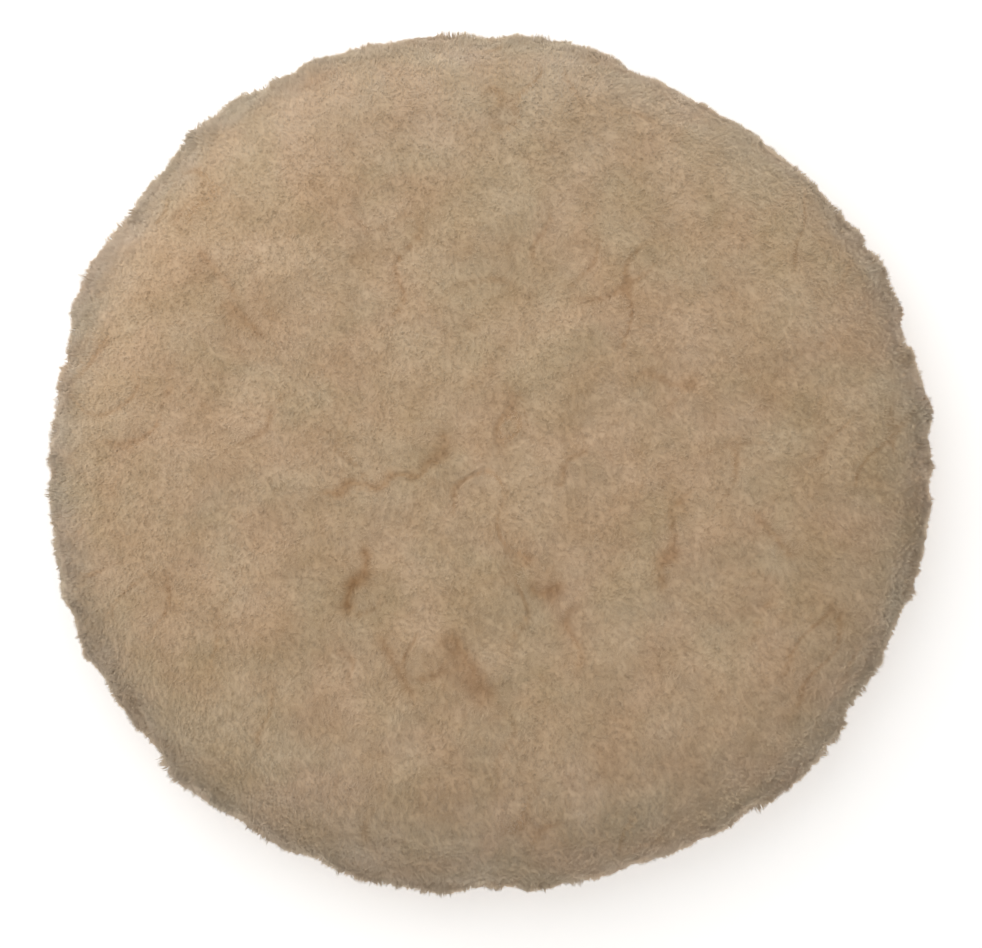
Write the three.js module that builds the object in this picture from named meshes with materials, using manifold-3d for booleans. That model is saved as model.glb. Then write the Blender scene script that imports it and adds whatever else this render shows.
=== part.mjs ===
// A lambswool polishing pad with a hook-and-loop back, for a rotary or random-orbit polisher.
//
// From the face that grips the machine's backing plate, upwards: a loop fabric (a nap of loops on a knitted
// ground), a film of adhesive, a foam cushion with a rounded shoulder, a second film of adhesive, the sheepskin's
// leather, and its clipped wool. Hide and loop fabric meet in a flat margin round the foam, where a lockstitch
// seam of two threads holds them together. A centring hole runs through the fabric and the foam and ends at the
// leather. Millimetres, +Z towards the wool, origin at the middle of the face that grips the backing plate.

import * as THREE from "three";
import { mergeVertices } from "three/addons/utils/BufferGeometryUtils.js";
import Module from "manifold-3d";

// Radii of the layers
const HOLE_R = 10;
const SHOULDER_R = 46; // the foam's flat top ends here and its shoulder begins
const FOAM_R = 73;
const MARGIN_R = 76; // the hide lies flat from here outwards
const LOOP_R = 82.5;
const HIDE_R = 85;
const WOOL_R = 100.6; // mean radius of the wool's outline, before its lobes

// Thicknesses of the layers
const NAP = 1.2;
const GROUND = 0.8;
const FILM = 0.3;
const FOAM = 8;
const FOAM_EDGE = 0.3; // what is left of the foam at its pinched rim
const HIDE = 1.4;
const PILE = 20.5;

// Levels, from the face that grips the plate
const NAP_TOP = NAP;
const FABRIC_TOP = NAP_TOP + GROUND;
const FOAM_BOTTOM = FABRIC_TOP + FILM;
const FOAM_TOP = FOAM_BOTTOM + FOAM;
const HIDE_BOTTOM = FOAM_TOP + FILM;
const HIDE_TOP = HIDE_BOTTOM + HIDE;
const WOOL_TOP = HIDE_TOP + PILE;
const MARGIN_TOP = FABRIC_TOP + HIDE; // the hide lies straight on the fabric in the margin

// The seam
const STITCHES = 64;
const SEAM_R = 79.5;
const THREAD_R = 0.35;
const THREAD_SIDES = 5;
const STEPS_PER_STITCH = 4;
const GROOVE_TOP = 1.1; // half the width of the groove that each thread sinks into
const GROOVE_FLOOR = 0.75; // and half the width of its floor
const HIDE_GROOVE = 0.4;
const WOOL_GROOVE = 0.5;
const NAP_GROOVE = 0.95;
const THREAD_GAP = 0.05; // between a thread and the floor of its groove
const DIP = 0.9; // how far each thread goes into a needle hole
const NEEDLE_HOLE = { length: 4.4, width: 1.2 };

const SEGMENTS = STITCHES; // one flat facet of every layer for each stitch
const SHOULDER_STEPS = 5;
const RIM_STEPS = 14;
const WOOL_GAP = 0.3; // between the wool's fringe and the hide's cut edge
const FRINGE_R = HIDE_R + WOOL_GAP; // the wool overhangs freely from here outwards
const LOBES_R = WOOL_R - 3; // and its lobes have their full height from here
const WELD = 1e-3; // corners of a layer closer than this are one corner

// Lobes of the clipped outline: where the fleece stands out or falls back, in degrees and millimetres
const LOBES = [
  { at: 6, rise: 1.3, spread: 9 },
  { at: 28, rise: 0.9, spread: 5 },
  { at: 58, rise: -4.5, spread: 17 },
  { at: 72, rise: -0.9, spread: 8 },
  { at: 94, rise: -2.4, spread: 13 },
  { at: 122, rise: 1.7, spread: 15 },
  { at: 155, rise: 2.9, spread: 7 },
  { at: 196, rise: 2.3, spread: 15 },
  { at: 210, rise: 1.2, spread: 5 },
  { at: 228, rise: 1.9, spread: 5 },
  { at: 262, rise: -1.8, spread: 12 },
  { at: 287, rise: -2.2, spread: 11 },
  { at: 318, rise: 1.8, spread: 6 },
  { at: 331, rise: -0.9, spread: 6 },
  { at: 344, rise: 1.3, spread: 10 },
];

const wasm = await Module();
wasm.setup();

// ---- Shapes -------------------------------------------------------------------------------------------------

const smooth = (t) => t * t * (3 - 2 * t);
const clamp01 = (t) => Math.min(1, Math.max(0, t));

// Turns a closed profile of [radius, height] points, listed anticlockwise, about Z.
function lathe(profile) {
  const points = [...profile, profile[0]].map(([r, z]) => new THREE.Vector2(r, z));
  return new THREE.LatheGeometry(points, SEGMENTS).rotateX(Math.PI / 2);
}

// The same for a profile whose first and last points lie on the axis.
function latheFromAxis(profile) {
  const points = profile.map(([r, z]) => new THREE.Vector2(r, z));
  return new THREE.LatheGeometry(points, SEGMENTS).rotateX(Math.PI / 2);
}

function toSolid(geometry) {
  const bare = geometry.clone();
  bare.deleteAttribute("normal");
  bare.deleteAttribute("uv");
  const merged = mergeVertices(bare, WELD);
  return new wasm.Manifold(
    new wasm.Mesh({
      numProp: 3,
      vertProperties: merged.attributes.position.array,
      triVerts: new Uint32Array(merged.index.array),
    }),
  );
}

function toGeometry(solid) {
  const { vertProperties, triVerts } = solid.getMesh();
  const geometry = new THREE.BufferGeometry();
  geometry.setAttribute("position", new THREE.BufferAttribute(vertProperties, 3));
  geometry.setIndex(new THREE.BufferAttribute(triVerts, 1));
  geometry.computeVertexNormals();
  return geometry;
}

// One slot for each stitch, through the whole stack of the margin.
function needleHoles() {
  const slots = [];
  for (let i = 0; i < STITCHES; i++) {
    const angle = ((i + 0.5) / STITCHES) * 2 * Math.PI;
    const slot = new THREE.BoxGeometry(NEEDLE_HOLE.width, NEEDLE_HOLE.length, 4 * HIDE_BOTTOM);
    slot.translate(SEAM_R, 0, 0).rotateZ(angle);
    slots.push(toSolid(slot));
  }
  return wasm.Manifold.union(slots);
}

// A step down and back up across the seam, as points of a profile read outwards.
function grooveAt(level, floor) {
  return [
    [SEAM_R - GROOVE_TOP, level],
    [SEAM_R - GROOVE_FLOOR, floor],
    [SEAM_R + GROOVE_FLOOR, floor],
    [SEAM_R + GROOVE_TOP, level],
  ];
}

// The foam's upper surface, read outwards, raised by some height.
function shoulder(raise) {
  const points = [];
  for (let i = 0; i <= SHOULDER_STEPS; i++) {
    const t = i / SHOULDER_STEPS;
    const r = SHOULDER_R + t * (FOAM_R - SHOULDER_R);
    const z = FOAM_BOTTOM + FOAM_EDGE + (FOAM - FOAM_EDGE) * (1 - smooth(t));
    points.push([r, z + raise]);
  }
  return points;
}

// ---- Layers -------------------------------------------------------------------------------------------------

function loopNap(holes) {
  const under = [[HOLE_R, 0], ...grooveAt(0, NAP_GROOVE), [LOOP_R, 0]];
  const over = [[LOOP_R, NAP_TOP], [HOLE_R, NAP_TOP]];
  return toGeometry(toSolid(lathe([...under, ...over])).subtract(holes));
}

function loopGround(holes) {
  const ring = [[HOLE_R, NAP_TOP], [LOOP_R, NAP_TOP], [LOOP_R, FABRIC_TOP], [HOLE_R, FABRIC_TOP]];
  return toGeometry(toSolid(lathe(ring)).subtract(holes));
}

function loopAdhesive() {
  return lathe([
    [HOLE_R, FABRIC_TOP],
    [FOAM_R, FABRIC_TOP],
    [FOAM_R, FOAM_BOTTOM],
    [HOLE_R, FOAM_BOTTOM],
  ]);
}

function foamCushion() {
  return lathe([
    [HOLE_R, FOAM_BOTTOM],
    [FOAM_R, FOAM_BOTTOM],
    ...shoulder(0).reverse(),
    [HOLE_R, FOAM_TOP],
  ]);
}

function hideAdhesive() {
  const under = [[0, FOAM_TOP], ...shoulder(0), [FOAM_R, FABRIC_TOP], [MARGIN_R, FABRIC_TOP]];
  const over = [...shoulder(FILM).reverse(), [0, HIDE_BOTTOM]];
  return latheFromAxis([...under, ...over]);
}

function sheepskinHide(holes) {
  const under = [[0, HIDE_BOTTOM], ...shoulder(FILM), [MARGIN_R, FABRIC_TOP], [HIDE_R, FABRIC_TOP]];
  const over = [
    [0, HIDE_TOP],
    ...shoulder(FILM + HIDE),
    [MARGIN_R, MARGIN_TOP],
    ...grooveAt(MARGIN_TOP, MARGIN_TOP - HIDE_GROOVE),
    [HIDE_R, MARGIN_TOP],
  ];
  return toGeometry(toSolid(latheFromAxis([...under, ...over.reverse()])).subtract(holes));
}

// ---- Wool ---------------------------------------------------------------------------------------------------

// How far the clipped outline stands out of its mean radius, in millimetres, at an angle in degrees.
function outlineRise(degrees) {
  return LOBES.reduce((sum, { at, rise, spread }) => {
    const away = Math.abs(((degrees - at + 540) % 360) - 180);
    return sum + rise * Math.exp(-((away / spread) ** 2));
  }, 0);
}

// 0 over the hide, rising to 1 in the overhanging wool.
function overhang(r) {
  return smooth(clamp01((r - FRINGE_R) / (LOBES_R - FRINGE_R)));
}

// The pile from the hide's edge, round the rim and up to the crown.
function rimCurve() {
  return new THREE.SplineCurve([
    new THREE.Vector2(FRINGE_R, 1.0),
    new THREE.Vector2(92, 1.6),
    new THREE.Vector2(98, 5.5),
    new THREE.Vector2(WOOL_R, 12),
    new THREE.Vector2(98.5, 20),
    new THREE.Vector2(91, 27.5),
    new THREE.Vector2(78, 31.2),
    new THREE.Vector2(52, WOOL_TOP - 0.4),
    new THREE.Vector2(0, WOOL_TOP),
  ]).getPoints(RIM_STEPS);
}

function woolPile() {
  const seat = [
    [0, HIDE_TOP],
    ...shoulder(FILM + HIDE),
    [MARGIN_R, MARGIN_TOP],
    ...grooveAt(MARGIN_TOP, MARGIN_TOP + WOOL_GROOVE),
    [FRINGE_R, MARGIN_TOP],
  ];
  const outer = rimCurve().map(({ x, y }) => [x, y]);
  outer[outer.length - 1][0] = 0;
  const geometry = latheFromAxis([...seat, ...outer]);
  const position = geometry.attributes.position;
  const point = new THREE.Vector3();
  for (let i = 0; i < position.count; i++) {
    point.fromBufferAttribute(position, i);
    const share = overhang(Math.hypot(point.x, point.y));
    const degrees = THREE.MathUtils.radToDeg(Math.atan2(point.y, point.x)) + 360;
    const scale = 1 + (share * outlineRise(degrees % 360)) / WOOL_R;
    position.setXY(i, point.x * scale, point.y * scale);
  }
  return centreRim(geometry);
}

// Slides the overhanging wool sideways so that its outline is centred on the pad's axis.
function centreRim(geometry) {
  geometry.computeBoundingBox();
  const middle = geometry.boundingBox.getCenter(new THREE.Vector3());
  const position = geometry.attributes.position;
  for (let i = 0; i < position.count; i++) {
    const share = overhang(Math.hypot(position.getX(i), position.getY(i)));
    position.setXY(i, position.getX(i) - share * middle.x, position.getY(i) - share * middle.y);
  }
  return geometry;
}

// ---- Threads ------------------------------------------------------------------------------------------------

// A thread that runs round the seam at one level and dips into every needle hole.
function seamThread(level, dip) {
  const geometry = new THREE.TorusGeometry(SEAM_R, THREAD_R, THREAD_SIDES, STITCHES * STEPS_PER_STITCH);
  const position = geometry.attributes.position;
  for (let i = 0; i < position.count; i++) {
    const angle = Math.atan2(position.getY(i), position.getX(i));
    const into = Math.max(0, -Math.cos(STITCHES * angle));
    position.setZ(i, position.getZ(i) + level + dip * into);
  }
  return geometry;
}

function needleThread() {
  return seamThread(MARGIN_TOP - HIDE_GROOVE + THREAD_GAP + THREAD_R, -DIP);
}

function bobbinThread() {
  return seamThread(NAP_GROOVE - THREAD_GAP - THREAD_R, DIP);
}

// ---- Materials and assembly ---------------------------------------------------------------------------------

const material = (color, roughness) => new THREE.MeshStandardMaterial({ color, roughness, metalness: 0 });

const WOOL = material(0xab9275, 0.95);
const LEATHER = material(0xcdb78f, 0.7);
const ADHESIVE = material(0xd9cfa8, 0.45);
const FOAM_YELLOW = material(0xd8b765, 0.9);
const LOOP_KNIT = material(0xd9d5cb, 0.85);
const LOOP_NAP = material(0xe6e2d8, 0.95);
const THREAD = material(0xefece2, 0.6);

const holes = needleHoles();
const pad = new THREE.Group();

function add(name, geometry, surface) {
  const mesh = new THREE.Mesh(geometry, surface);
  mesh.name = name;
  pad.add(mesh);
}

add("loop_nap", loopNap(holes), LOOP_NAP);
add("loop_ground", loopGround(holes), LOOP_KNIT);
add("loop_adhesive", loopAdhesive(), ADHESIVE);
add("foam_cushion", foamCushion(), FOAM_YELLOW);
add("hide_adhesive", hideAdhesive(), ADHESIVE);
add("sheepskin_hide", sheepskinHide(holes), LEATHER);
add("wool_pile", woolPile(), WOOL);
add("needle_thread", needleThread(), THREAD);
add("bobbin_thread", bobbinThread(), THREAD);

export default pad;
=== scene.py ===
"""The looks of a lambswool polishing pad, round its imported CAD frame. Metres, +Z towards the wool face."""

import math

import bpy
import numpy as np
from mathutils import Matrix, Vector
from mathutils.bvhtree import BVHTree
from mathutils.kdtree import KDTree


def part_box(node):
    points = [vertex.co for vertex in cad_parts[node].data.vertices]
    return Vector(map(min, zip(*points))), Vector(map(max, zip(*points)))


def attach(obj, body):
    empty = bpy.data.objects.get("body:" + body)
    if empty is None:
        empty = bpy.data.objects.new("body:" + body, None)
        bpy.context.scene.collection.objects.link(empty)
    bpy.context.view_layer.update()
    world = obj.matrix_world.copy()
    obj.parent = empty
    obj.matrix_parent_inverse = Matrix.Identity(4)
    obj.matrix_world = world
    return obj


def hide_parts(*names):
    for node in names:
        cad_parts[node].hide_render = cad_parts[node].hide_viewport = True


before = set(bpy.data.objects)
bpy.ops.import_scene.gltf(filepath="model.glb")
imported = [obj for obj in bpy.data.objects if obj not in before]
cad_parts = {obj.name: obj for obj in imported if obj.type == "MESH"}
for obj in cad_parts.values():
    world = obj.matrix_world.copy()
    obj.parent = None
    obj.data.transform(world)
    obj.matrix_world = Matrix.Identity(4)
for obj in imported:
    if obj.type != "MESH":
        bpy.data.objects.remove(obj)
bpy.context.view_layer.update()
MM = 0.001
RNG = np.random.default_rng(20)

# ---- The fleece ----------------------------------------------------------------------------------
SECTORS = 16  # the fibres are dealt out to this many pieces, like slices of a cake
FIBRES = 470_000
FIBRE_HALF_WIDTH = 0.066 * MM
FIBRE_DEPTH = 2.6 * MM  # how far below the surface a fibre starts
FIBRE_RUN = 1.0 * MM  # how far it would reach sideways at a lean of 1
TIP_JITTER = 0.12 * MM
UNDER_DEPTH = 0.85 * MM  # from the fleece's surface down to the dense wool below it
UNDER_SHADE = 0.5  # share of the tips' painted grey shade that reaches down to it
FLOOR_GAP = 0.5 * MM  # no fibre droops lower than this
HIDE_GAP = 0.5 * MM  # and none reaches closer to the hide's edge than this
LOCK = 3.4 * MM  # spacing of the fleece's locks
WISP = 1.0 * MM  # and of the wisps in those

# How far a fibre leans: its own chance, its lock's, its wisp's, and the smooth fields that they all follow
OWN_LEAN = 0.42
LOCK_LEAN = 0.16
WISP_LEAN = 0.22
SWIRL_LEAN = 0.05
EDDY_LEAN = 0.07
PARTED_LEAN = 0.8
COMBED_LEAN = 0.1  # away from the middle, and down the side
COMBED_TURN_LEAN = 0.3  # added where the pile has turned over the rim
COMBED_UNDER_LEAN = 0.9  # added where it faces the floor

# How high a tip stands above the clipped surface
CLIPPED = (-0.28 * MM, 0.15 * MM)
STRAYS = 0.07  # share of loose fibres on the crown
STRAY_RISE = 0.8 * MM
FRINGE_RISE = 0.9 * MM
FRINGE_LOCK_RISE = 2.2 * MM
FRINGE_WISP_RISE = 0.8 * MM
SIDE_LOCK_RISE = 0.8 * MM

# How far the tips of a lock or a wisp are drawn together, everywhere and then added at the side or fringe
LOCK_DRAW = 0.05
SIDE_LOCK_DRAW = 0.22
WISP_DRAW = 0.10
FRINGE_WISP_DRAW = 0.35
LOCK_GAP_SHADE = 0.35  # how much of the partings' dark brown, partly the roots' colour and partly painted shade, fills the gap between two locks at the side

# Relief of the clipped surface, in millimetres
SWELL_RELIEF = 0.32
RIPPLE_RELIEF = 0.16
DIMPLE_RELIEF = 0.06
FRINGE_OUT = 0.3
FRINGE_RIPPLE = 0.30
FRINGE_DIMPLE = 0.25
PARTED_DEPTH = 0.45

# Where the wool gets painted grey shade, and how much: towards the outline and two of its sides, if it
# doesn't face down
SHADE_OUTLINE = (88 * MM, 103 * MM)
SHADE_OUTLINE_MOST = 0.95
SHADE_SIDES = (50 * MM, 95 * MM)
SHADE_SIDES_MOST = 0.7
SHADE_FACING = (-0.3, 0.5)

# Where the pile changes from the crown to the rim
TURN_START = 60 * MM  # it begins to lean outwards
TURN_END = 95 * MM  # and has turned over the rim
FRINGE_START = 94 * MM
FRINGE_END = 100 * MM

NOTCHES = 44  # steps in the outline
VEIN_WIDTH = 0.16  # fine partings run where a smooth field is within about this of zero
VEIN_STRENGTH = 0.45

# Partings where the fleece opens and shows its roots, coloured partly by the roots' browner colour and
# partly by painted shade: ends (x, y) and half width in millimetres, strength
PARTINGS = [
    ((-37, -6), (-24, -4), 1.1, 0.60),
    ((-24, -4), (-12, 0), 0.9, 0.60),
    ((-12, 0), (-11, 6), 1.5, 0.50),
    ((-28, -20), (-30, -27), 1.3, 0.65),
    ((-30, -27), (-33, -32), 1.7, 0.85),
    ((43, -7), (41, -18), 1.0, 0.50),
    ((41, -18), (39, -27), 1.5, 0.55),
    ((10, -28), (15, -29), 1.8, 0.60),
    ((-24, -40), (-18, -52), 1.9, 0.50),
    ((-9, -40), (-1, -53), 1.9, 0.55),
    ((34, 20), (46, 18), 1.1, 0.40),
    ((61, -12), (69, -20), 1.3, 0.45),
    ((15, -4), (21, 4), 0.9, 0.40),
    ((-66, 47), (-58, 38), 1.5, 0.40),
    ((-60, 36), (-53, 29), 1.2, 0.45),
]

# ---- Rows of the pile's surface ------------------------------------------------------------------
AROUND = 540
CROWN_ROWS = 52
RIM_ROWS = 62
SEAT_ROWS = 24
# The pile is measured straight down inside this ring, and outside it in all directions from the ring
RING_R = 78 * MM
RING_Z = 16 * MM
RIM_END = math.radians(-70)
MIDDLE_R = 0.3 * MM  # radius of the row nearest the axis
SMOOTHING = 6  # passes
ABOVE = 100 * MM  # rays that look down start from here
BELOW = -50 * MM  # and rays that look up from here

# ---- The backing ---------------------------------------------------------------------------------
HOLE_R = 10 * MM
STITCHES = 64
STEPS_PER_STITCH = 12
NEEDLE_STEPS = 7  # of those, how many a needle hole is long
NEEDLE_HALF_WIDTH = 0.6 * MM
THREAD_R = 0.35 * MM
SEAM_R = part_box("needle_thread")[1].x - THREAD_R
PLIES = 2
PLY_R = THREAD_R / 2
PLY_SIDES = 6
TWIST = 1.7 * MM  # length of thread in which a ply goes once round
THREAD_STEPS = 24  # for each stitch
FOAM_AROUND = 320
FOAM_UP = 40
FOAM_PORE = 0.95 * MM
PORE_DEPTH = 0.45 * MM
PORE_TRIES = 60_000
# A cell's pit starts, and is deepest, where it is this much nearer to that cell than to any other
PORE_EDGE = (0.05 * MM, 0.35 * MM)
HIDE_GRAIN = 0.03 * MM
HIDE_WAVE = 0.02 * MM
HIDE_ROUNDING = 0.25 * MM  # at its cut edge
WAVE_LIMIT = 1.6  # the hide's waves are cut off there
SHEET_PUCKER = 0.03 * MM
PUCKER_LIMIT = 1.5  # and the sheet's puckers there
LOOP_SPACING = 1.5 * MM
LOOP_HALF_WIDTH = 0.07 * MM
LOOP_SPAN = 0.42 * MM  # from a loop's middle to its foot
LOOP_CLEAR = 0.09 * MM  # from the face that grips the plate up to the lowest loop's middle line
LOOP_PIECES = 3
LOOP_RINGS = 7
LOOP_SIDES = 3
SHEET = 0.45 * MM  # dense foot of the nap, which the loops grow from


# ---- Helpers -------------------------------------------------------------------------------------
def unit(v):
    return v / np.maximum(np.linalg.norm(v, axis=-1, keepdims=True), 1e-12)


def smooth_step(x, low, high):
    t = np.clip((x - low) / (high - low), 0, 1)
    return t * t * (3 - 2 * t)


def radius_of(points):
    return np.linalg.norm(points[..., :2], axis=-1)


class Waves:
    """A smooth random field: a sum of sine waves of about one wavelength, in random directions."""

    def __init__(self, wavelength, count=14):
        directions = unit(RNG.normal(size=(count, 3)))
        lengths = wavelength * RNG.uniform(0.65, 1.6, size=(count, 1))
        self.k = directions * 2 * math.pi / lengths
        self.phase = RNG.uniform(0, 2 * math.pi, count)
        self.gain = math.sqrt(2 / count)

    def __call__(self, points):
        return self.gain * np.sin(points @ self.k.T + self.phase).sum(axis=-1)


def thinned(points, spacing):
    """Indices of about one point for each cube of that spacing."""
    cells = np.floor(points / spacing).astype(np.int64)
    return np.unique(cells, axis=0, return_index=True)[1]


def tree_of(centres):
    tree = KDTree(len(centres))
    for i, centre in enumerate(centres):
        tree.insert(centre, i)
    tree.balance()
    return tree


def new_mesh(name, verts, faces):
    """A mesh object made from arrays; faces all have the same number of corners."""
    mesh = bpy.data.meshes.new(name)
    corners = faces.shape[1]
    mesh.vertices.add(len(verts))
    mesh.vertices.foreach_set("co", verts.astype(np.float32).ravel())
    mesh.loops.add(faces.size)
    mesh.loops.foreach_set("vertex_index", faces.astype(np.int32).ravel())
    mesh.polygons.add(len(faces))
    mesh.polygons.foreach_set("loop_start", np.arange(0, faces.size, corners, dtype=np.int32))
    mesh.update(calc_edges=True)
    obj = bpy.data.objects.new(name, mesh)
    bpy.context.scene.collection.objects.link(obj)
    return obj


def paint(obj, layer_name, colours):
    """Stores one colour for each vertex, for the material to read."""
    layer = obj.data.color_attributes.new(layer_name, "FLOAT_COLOR", "POINT")
    layer.data.foreach_set("color", colours.astype(np.float32).ravel())


def lay_out(obj, uv):
    """Stores the layout of the piece's surface, one place for each corner of each face."""
    layer = obj.data.uv_layers.new(name="OFBake")
    layer.uv.foreach_set("vector", uv.astype(np.float32).ravel())


def strand_layout(count, across, along):
    """Gives each strand its own small cell of the layout; across and along place its corners in that."""
    cells = math.ceil(math.sqrt(count))
    row, column = np.divmod(np.arange(count), cells)
    u = (column[:, None] + across) / cells
    v = (row[:, None] + along) / cells
    return np.stack([u, v], axis=-1).reshape(-1, 2)


def place(obj, material, slot, *nodes):
    """Gives a piece its material and its place in the frame."""
    obj.data.materials.append(material)
    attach(obj, "root")
    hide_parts(*nodes)


def surface_tree(node):
    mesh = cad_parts[node].data
    return BVHTree.FromPolygons([v.co for v in mesh.vertices], [p.vertices for p in mesh.polygons])


# ---- The pile's surface, measured on the CAD solid -----------------------------------------------
def rows_on(tree, rays):
    """Rows of points round the pad where the rays, given at angle zero, meet a surface."""
    rows = np.zeros((len(rays), AROUND, 3))
    for j, turn in enumerate(np.linspace(0, 2 * math.pi, AROUND, endpoint=False)):
        c, s = math.cos(turn), math.sin(turn)
        for i, (r, z, out, up) in enumerate(rays):
            rows[i, j] = tree.ray_cast(Vector((r * c, r * s, z)), Vector((out * c, out * s, up)))[0]
    return rows


def pile_skin(tree):
    """The pile's outer skin, from the middle of the crown out and down round the rim."""
    crown = np.linspace(MIDDLE_R, RING_R, CROWN_ROWS, endpoint=False)
    rim = np.linspace(math.pi / 2, RIM_END, RIM_ROWS)
    rays = [(r, ABOVE, 0.0, -1.0) for r in crown]
    rays += [(RING_R, RING_Z, math.cos(a), math.sin(a)) for a in rim]
    skin = rows_on(tree, rays)
    for _ in range(SMOOTHING):
        skin = (np.roll(skin, 1, axis=1) + 2 * skin + np.roll(skin, -1, axis=1)) / 4
        skin[1:-1] = (skin[:-2] + 2 * skin[1:-1] + skin[2:]) / 4
    return skin


def pile_seat(tree):
    """The pile's underside where it grows out of the hide, from the hide's edge in to the middle."""
    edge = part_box("sheepskin_hide")[1].x
    radii = np.linspace(edge - 0.2 * MM, MIDDLE_R, SEAT_ROWS)
    return rows_on(tree, [(r, -1 * MM, 0.0, 1.0) for r in radii])


def skin_frame(skin):
    """The skin's normals, and its unit tangents leading outwards and down."""
    down = np.gradient(skin, axis=0)
    around = np.roll(skin, -1, axis=1) - np.roll(skin, 1, axis=1)
    return unit(np.cross(down, around)), unit(down)


def sample_skin(skin, normal, down, count):
    """Random points spread evenly over the skin, with the normal and the tangent at each."""
    a, b = skin[:-1], np.roll(skin, -1, axis=1)[:-1]
    area = np.linalg.norm(np.cross(b - a, skin[1:] - a), axis=-1).ravel()
    i, j = np.divmod(RNG.choice(area.size, count, p=area / area.sum()), AROUND)
    u, v = RNG.random((2, count, 1))
    k = (j + 1) % AROUND

    def between(grid):
        low = grid[i, j] * (1 - v) + grid[i, k] * v
        high = grid[i + 1, j] * (1 - v) + grid[i + 1, k] * v
        return low * (1 - u) + high * u

    return between(skin), unit(between(normal)), unit(between(down))


# ---- The clipped fleece --------------------------------------------------------------------------
swirl_x, swirl_y = Waves(45 * MM), Waves(45 * MM)
eddy_x, eddy_y = Waves(11 * MM), Waves(11 * MM)
swell, ripple, dimple = Waves(34 * MM), Waves(14 * MM), Waves(7 * MM)
vein, vein_mask = Waves(20 * MM), Waves(24 * MM)
NOTCH_AT = RNG.uniform(0, 2 * math.pi, NOTCHES)
NOTCH_WAY = RNG.choice([-1, 1], NOTCHES)
NOTCH_DEPTH = RNG.uniform(0.2, 1.3, NOTCHES)
NOTCH_WIDTH = np.radians(RNG.uniform(2, 8, NOTCHES))


def parting_field(points):
    """How far open the fleece is at each point, 0 to 1, and the way that leads off from the parting."""
    away = np.zeros((len(points), 3))
    flat = points[:, :2] / MM
    wander = 1.0 * np.sin(flat @ (0.6, 0.4)) + 0.3 * np.sin(flat @ (-1.1, 1.5))
    patchy = smooth_step(vein_mask(points), -0.2, 1.3) * (1 - fringe_share(points))
    opened = VEIN_STRENGTH * patchy * np.exp(-((vein(points) / VEIN_WIDTH) ** 2))
    for start, end, half_width, strength in PARTINGS:
        p, q = np.array(start, float), np.array(end, float)
        across = unit(np.array([p[1] - q[1], q[0] - p[0]]))
        t = np.clip(((flat - p) @ (q - p)) / ((q - p) @ (q - p)), 0, 1)
        offset = flat - (p + t[:, None] * (q - p)) + wander[:, None] * across
        distance = np.linalg.norm(offset, axis=1)
        opened = np.maximum(opened, strength * np.exp(-((distance / half_width) ** 1.3)))
        reach = strength * np.exp(-((distance / (3 * half_width)) ** 2))
        away[:, :2] += reach[:, None] * unit(offset)
    return opened, away


def notched(points):
    """How far the outline falls back, in millimetres, where one tuft ends and the next has yet to rise."""
    turn = np.arctan2(points[:, 1], points[:, 0])
    fallen = np.zeros(len(points))
    for at, way, depth, width in zip(NOTCH_AT, NOTCH_WAY, NOTCH_DEPTH, NOTCH_WIDTH):
        past = ((turn - at) * way) % (2 * math.pi) / width
        fallen -= depth * np.exp(-(past**2))
    return fallen


def turn_share(points):
    """0 on the crown, rising to 1 where the pile has turned over the rim."""
    return smooth_step(radius_of(points), TURN_START, TURN_END)


def fringe_share(points):
    """0 inside the outermost few millimetres of the outline, rising to 1 there."""
    return smooth_step(radius_of(points), FRINGE_START, FRINGE_END)


def relief(points):
    """How far the clipped fleece stands above or below the smooth skin."""
    calm = 1 - 0.6 * turn_share(points)
    rippled, dimpled = ripple(points), dimple(points)
    crown = SWELL_RELIEF * swell(points) + RIPPLE_RELIEF * rippled + DIMPLE_RELIEF * dimpled
    fringe = FRINGE_OUT + FRINGE_RIPPLE * rippled + FRINGE_DIMPLE * dimpled + notched(points)
    opened = parting_field(points)[0]
    return (crown * calm + fringe * fringe_share(points) - PARTED_DEPTH * opened) * MM


def side_share(normal):
    """0 where the pile faces up, rising to 1 where it faces sideways or down."""
    return smooth_step(-normal[..., 2], -0.6, -0.1)


def under_share(normal):
    """0 where the pile faces up or sideways, rising to 1 where it faces the floor."""
    return smooth_step(-normal[..., 2], 0.0, 0.8)


def lean_field(points, normal, down):
    """The way the pile leans: in small swirls on the crown, and down at the rim and under it."""
    flat = np.zeros(len(points))
    swirl = SWIRL_LEAN * np.stack([swirl_x(points), swirl_y(points), flat], axis=1)
    swirl += EDDY_LEAN * np.stack([eddy_x(points), eddy_y(points), flat], axis=1)
    turned_over = turn_share(points)[:, None]
    combed = COMBED_LEAN + COMBED_TURN_LEAN * turned_over
    combed = combed + COMBED_UNDER_LEAN * under_share(normal)[:, None]
    return swirl * (1 - 0.7 * turned_over) + combed * down + PARTED_LEAN * parting_field(points)[1]


class Clumps:
    """Fibres gathered in clumps of about one spacing."""

    def __init__(self, points, spacing):
        self.middles = thinned(points, spacing)
        tree = tree_of(points[self.middles])
        self.of = np.array([tree.find(point)[1] for point in points])
        self.apart = np.linalg.norm(points - points[self.middles][self.of], axis=1) / spacing

    def scatter(self):
        """A random vector for each fibre, the same throughout a clump."""
        return RNG.normal(size=(len(self.middles), 3))[self.of]

    def chance(self):
        """A random number from 0 to 1 for each fibre, the same throughout a clump."""
        return RNG.random((len(self.middles), 1))[self.of]

    def drawn_in(self, tips, share):
        """The tips, moved that share of the way to the one in the middle of their clump."""
        return tips + share * (tips[self.middles][self.of] - tips)


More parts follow.
